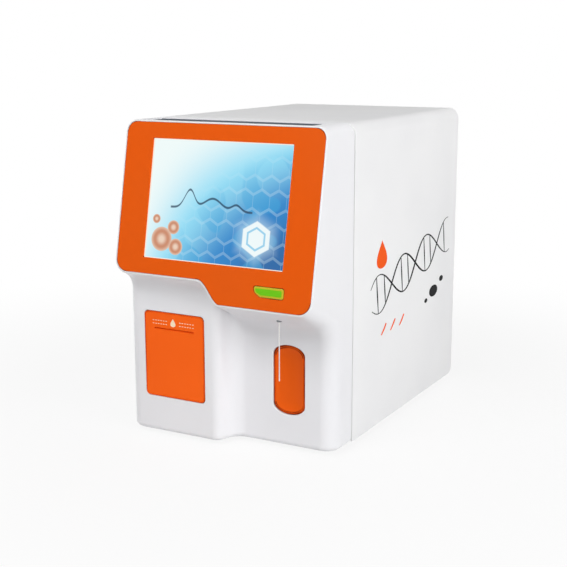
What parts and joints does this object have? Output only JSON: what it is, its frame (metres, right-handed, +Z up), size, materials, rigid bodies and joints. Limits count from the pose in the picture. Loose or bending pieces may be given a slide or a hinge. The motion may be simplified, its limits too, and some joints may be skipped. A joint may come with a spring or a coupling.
{
  "type": "hematology analyzer",
  "caption": "Bench-top blood cell analyzer with a leaning touch screen, a printer behind a hinged door, and an open sample bay with a lifting probe and a start key.",
  "frame": {"origin": "middle of the bounding box's bottom face, on the surface the feet stand on", "axes": "+X to the right as seen from the front, +Y from the front to the back, +Z up"},
  "size_m": [0.303, 0.5, 0.4355],
  "materials": {
    "white_plastic": "satin moulded plastic",
    "cover_paint": "fine satin powder coat",
    "panel_paint": "fine satin powder coat",
    "orange_plastic": "satin moulded plastic",
    "screen_glass": "smooth display glass",
    "green_lens": "glossy light-passing plastic",
    "stainless_steel": "ground bar",
    "aluminium": "fine brushed",
    "plated_sheet": "zinc-plated sheet",
    "black_plastic": "fine matt",
    "grey_plastic": "fine matt",
    "black_rubber": "matt",
    "paper": "thermal paper",
    "circuit_board": "solder-masked board",
    "clear_acrylic": "polished clear plastic",
    "brass": "turned"
  },
  "bodies": {
    "case": {"front_fascia": "white_plastic", "cover_shell": "cover_paint", "display_bezel": "orange_plastic", "touch_screen": "screen_glass", "status_lens": "green_lens", "lcd_module": "plated_sheet", "lcd_bracket": "aluminium", "status_lamp_board": "circuit_board", "printer_bucket": "black_plastic", "printer_hinge_pin": "stainless_steel", "print_head": "black_plastic", "key_bracket": "plated_sheet", "key_switch": "black_plastic", "probe_wash_block": "grey_plastic", "lift_frame": "plated_sheet", "lift_guide_rod": "stainless_steel", "lift_motor": "black_plastic", "base_plate": "plated_sheet", "foot_front_left": "black_rubber", "foot_front_right": "black_rubber", "foot_rear_left": "black_rubber", "foot_rear_right": "black_rubber", "chassis_wall": "plated_sheet", "rear_panel": "panel_paint", "fan_frame": "black_plastic", "power_inlet": "black_plastic", "switch_housing": "black_plastic", "interface_ports": "black_plastic", "diluent_port": "brass", "lyse_port": "brass", "cleaner_port": "brass", "waste_port": "brass", "white_cell_bath": "clear_acrylic", "red_cell_bath": "clear_acrylic", "bath_holder": "aluminium", "syringe_frame": "aluminium", "diluent_syringe_barrel": "clear_acrylic", "lyse_syringe_barrel": "clear_acrylic", "syringe_motor": "black_plastic", "valve_bank": "grey_plastic", "sampling_valve_body": "grey_plastic", "vacuum_chamber": "clear_acrylic", "pump_body": "grey_plastic", "power_supply": "plated_sheet", "main_board": "circuit_board"},
    "door": {"printer_door": "orange_plastic"},
    "platen": {"platen_roller": "black_rubber"},
    "paper": {"paper_roll": "paper"},
    "key": {"start_key": "orange_plastic"},
    "probe_lift": {"sample_probe": "stainless_steel", "probe_carriage": "aluminium"},
    "probe_screw": {"lift_screw": "stainless_steel"},
    "valve_rotor": {"sampling_valve_rotor": "stainless_steel"},
    "dosing_drive": {"diluent_syringe_plunger": "grey_plastic", "lyse_syringe_plunger": "grey_plastic", "syringe_crosshead": "aluminium"},
    "dosing_screw": {"syringe_screw": "stainless_steel"},
    "pump": {"pump_rotor": "orange_plastic"},
    "fan": {"fan_rotor": "black_plastic"},
    "rocker": {"power_rocker": "black_plastic"}
  },
  "joints": [
    {"name": "printer_door_hinge", "type": "hinge", "parent": "case", "child": "door", "pos_m": [-0.07565, -0.2132, 0.0664], "axis": [1, 0, 0], "range_deg": [0, 88]},
    {"name": "platen_turn", "type": "hinge", "parent": "door", "child": "platen", "pos_m": [-0.07565, -0.206, 0.1475], "axis": [1, 0, 0], "continuous": true},
    {"name": "paper_roll_turn", "type": "hinge", "parent": "case", "child": "paper", "pos_m": [-0.07565, -0.1833, 0.0809], "axis": [1, 0, 0], "continuous": true},
    {"name": "start_key_press", "type": "slide", "parent": "case", "child": "key", "axis": [0, 1, 0], "range_m": [0, 0.0025], "stiffness_N_per_m": 400, "springref_m": -0.003},
    {"name": "probe_lift_slide", "type": "slide", "parent": "case", "child": "probe_lift", "axis": [0, 0, 1], "range_m": [0, 0.08]},
    {"name": "lift_screw_turn", "type": "hinge", "parent": "case", "child": "probe_screw", "pos_m": [0.0843, -0.1714, 0.20465], "axis": [0, 0, 1], "range_deg": [0, 3600]},
    {"name": "sampling_valve_turn", "type": "hinge", "parent": "case", "child": "valve_rotor", "pos_m": [0.005, -0.1012, 0.296], "axis": [0, 1, 0], "range_deg": [0, 60]},
    {"name": "dosing_drive_slide", "type": "slide", "parent": "case", "child": "dosing_drive", "axis": [0, 0, 1], "range_m": [0, 0.055]},
    {"name": "dosing_screw_turn", "type": "hinge", "parent": "case", "child": "dosing_screw", "pos_m": [0.085, -0.1052, 0.066], "axis": [0, 0, 1], "range_deg": [0, 3300]},
    {"name": "pump_turn", "type": "hinge", "parent": "case", "child": "pump", "pos_m": [0.095, 0.046, 0.0376], "axis": [0, 1, 0], "continuous": true},
    {"name": "fan_turn", "type": "hinge", "parent": "case", "child": "fan", "pos_m": [-0.075, 0.2127, 0.34099], "axis": [0, 1, 0], "continuous": true},
    {"name": "power_rocker_throw", "type": "hinge", "parent": "case", "child": "rocker", "pos_m": [-0.06, 0.2343, 0.042], "axis": [1, 0, 0], "range_deg": [-24, 0]}
  ],
  "couplings": [
    {"joint": "paper_roll_turn", "follows": "platen_turn", "ratio": -0.20833},
    {"joint": "lift_screw_turn", "follows": "probe_lift_slide", "rad_per_m": 785.4},
    {"joint": "dosing_screw_turn", "follows": "dosing_drive_slide", "rad_per_m": 1047.2}
  ]
}
